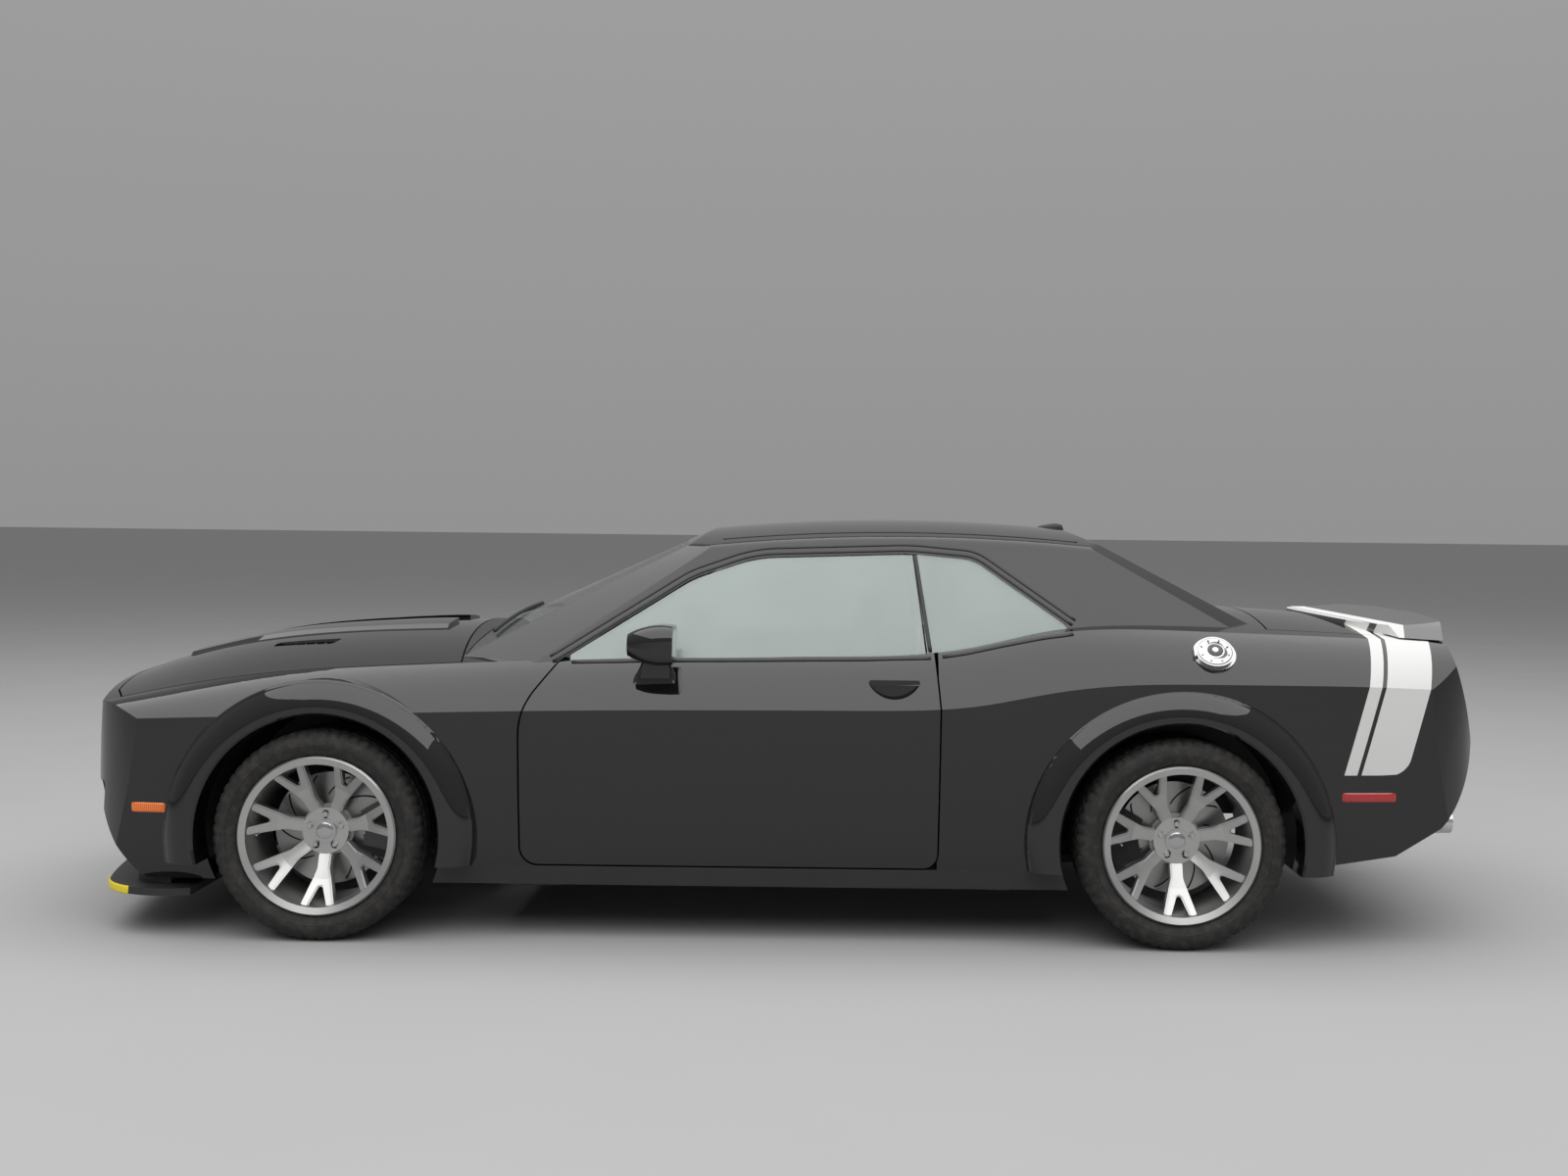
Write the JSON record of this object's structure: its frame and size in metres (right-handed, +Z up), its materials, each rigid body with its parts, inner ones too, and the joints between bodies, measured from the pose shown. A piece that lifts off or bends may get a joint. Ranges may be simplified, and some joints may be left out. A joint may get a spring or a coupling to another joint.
{
  "type": "muscle car",
  "caption": "Low two-door widebody muscle coupe with opening doors, hood, trunk lid and fuel lid, steered front wheels, spinning split-spoke wheels and a furnished cabin.",
  "frame": {"origin": "on the ground under the middle of the car's overall length and width", "axes": "+X forward to the nose, +Y to the car's left, +Z up"},
  "size_m": [5.0166, 2.122, 1.4609],
  "materials": {
    "paint": "gloss",
    "chrome_satin": "satin",
    "black_trim": "matte",
    "glass": "gloss",
    "tyre": "matte",
    "iron": "satin",
    "steel": "satin",
    "lamp_clear": "gloss",
    "lamp_red": "gloss",
    "leather": "satin",
    "chrome": "gloss"
  },
  "bodies": {
    "body": {"left_fender": "paint", "right_fender": "paint", "left_quarter": "paint", "right_quarter": "paint", "front_bumper": "paint", "rear_bumper": "paint", "rear_deck": "paint", "tail_panel": "paint", "roof": "paint", "flares": "paint", "cowl": "black_trim", "posts": "black_trim", "sills": "black_trim", "lid_strips": "black_trim", "diffuser": "black_trim", "grille": "black_trim", "splitter": "black_trim", "front_liners": "black_trim", "rear_liners": "black_trim", "dashboard": "black_trim", "steering_wheel": "black_trim", "quarter_windows": "glass", "windshield": "glass", "rear_window": "glass", "tail_lamps": "lamp_red", "headlamps": "lamp_clear", "floor_pan": "iron", "front_suspension": "iron", "engine": "iron", "rear_axle": "iron", "front_seats": "leather", "rear_seat": "leather", "exhaust": "steel", "fuel_bezel": "chrome"},
    "left_door": {"left_door": "paint", "left_door_glass": "glass", "left_mirror": "paint"},
    "right_door": {"right_door": "paint", "right_door_glass": "glass", "right_mirror": "paint"},
    "hood": {"hood": "paint"},
    "trunk_lid": {"trunk_lid": "paint", "spoiler": "black_trim"},
    "fuel_lid": {"fuel_lid": "chrome"},
    "left_knuckle": {"left_knuckle": "iron"},
    "right_knuckle": {"right_knuckle": "iron"},
    "fl_wheel": {"fl_rim": "chrome_satin", "fl_tyre": "tyre", "fl_disc": "steel"},
    "fr_wheel": {"fr_rim": "chrome_satin", "fr_tyre": "tyre", "fr_disc": "steel"},
    "rl_wheel": {"rl_rim": "chrome_satin", "rl_tyre": "tyre", "rl_disc": "steel"},
    "rr_wheel": {"rr_rim": "chrome_satin", "rr_tyre": "tyre", "rr_disc": "steel"}
  },
  "joints": [
    {"name": "left_door_hinge", "type": "hinge", "parent": "body", "child": "left_door", "pos_m": [0.797, 0.946, 0.6], "axis": [0, 0, -1], "range_deg": [0, 65]},
    {"name": "right_door_hinge", "type": "hinge", "parent": "body", "child": "right_door", "pos_m": [0.797, -0.946, 0.6], "axis": [0, 0, 1], "range_deg": [0, 65]},
    {"name": "hood_hinge", "type": "hinge", "parent": "body", "child": "hood", "pos_m": [1.2, 0, 1.066], "axis": [0, -1, 0], "range_deg": [0, 50]},
    {"name": "trunk_hinge", "type": "hinge", "parent": "body", "child": "trunk_lid", "pos_m": [-1.77, 0, 1.122], "axis": [0, 1, 0], "range_deg": [0, 75]},
    {"name": "fuel_lid_hinge", "type": "hinge", "parent": "body", "child": "fuel_lid", "pos_m": [-1.423, 0.89557, 1.0166], "axis": [0, 0.7001, -0.7141], "range_deg": [0, 95]},
    {"name": "left_steer", "type": "hinge", "parent": "body", "child": "left_knuckle", "pos_m": [1.5785, 0.815, 0.36], "axis": [0, 0, 1], "range_deg": [-34, 34]},
    {"name": "right_steer", "type": "hinge", "parent": "body", "child": "right_knuckle", "pos_m": [1.5785, -0.815, 0.36], "axis": [0, 0, 1], "range_deg": [-34, 34]},
    {"name": "fl_wheel_spin", "type": "hinge", "parent": "left_knuckle", "child": "fl_wheel", "pos_m": [1.5785, 0.833, 0.36], "axis": [0, 1, 0], "continuous": true},
    {"name": "fr_wheel_spin", "type": "hinge", "parent": "right_knuckle", "child": "fr_wheel", "pos_m": [1.5785, -0.833, 0.36], "axis": [0, 1, 0], "continuous": true},
    {"name": "rl_wheel_spin", "type": "hinge", "parent": "body", "child": "rl_wheel", "pos_m": [-1.3725, 0.833, 0.36], "axis": [0, 1, 0], "continuous": true},
    {"name": "rr_wheel_spin", "type": "hinge", "parent": "body", "child": "rr_wheel", "pos_m": [-1.3725, -0.833, 0.36], "axis": [0, 1, 0], "continuous": true}
  ],
  "couplings": [
    {"joint": "right_steer", "follows": "left_steer", "ratio": 1}
  ]
}
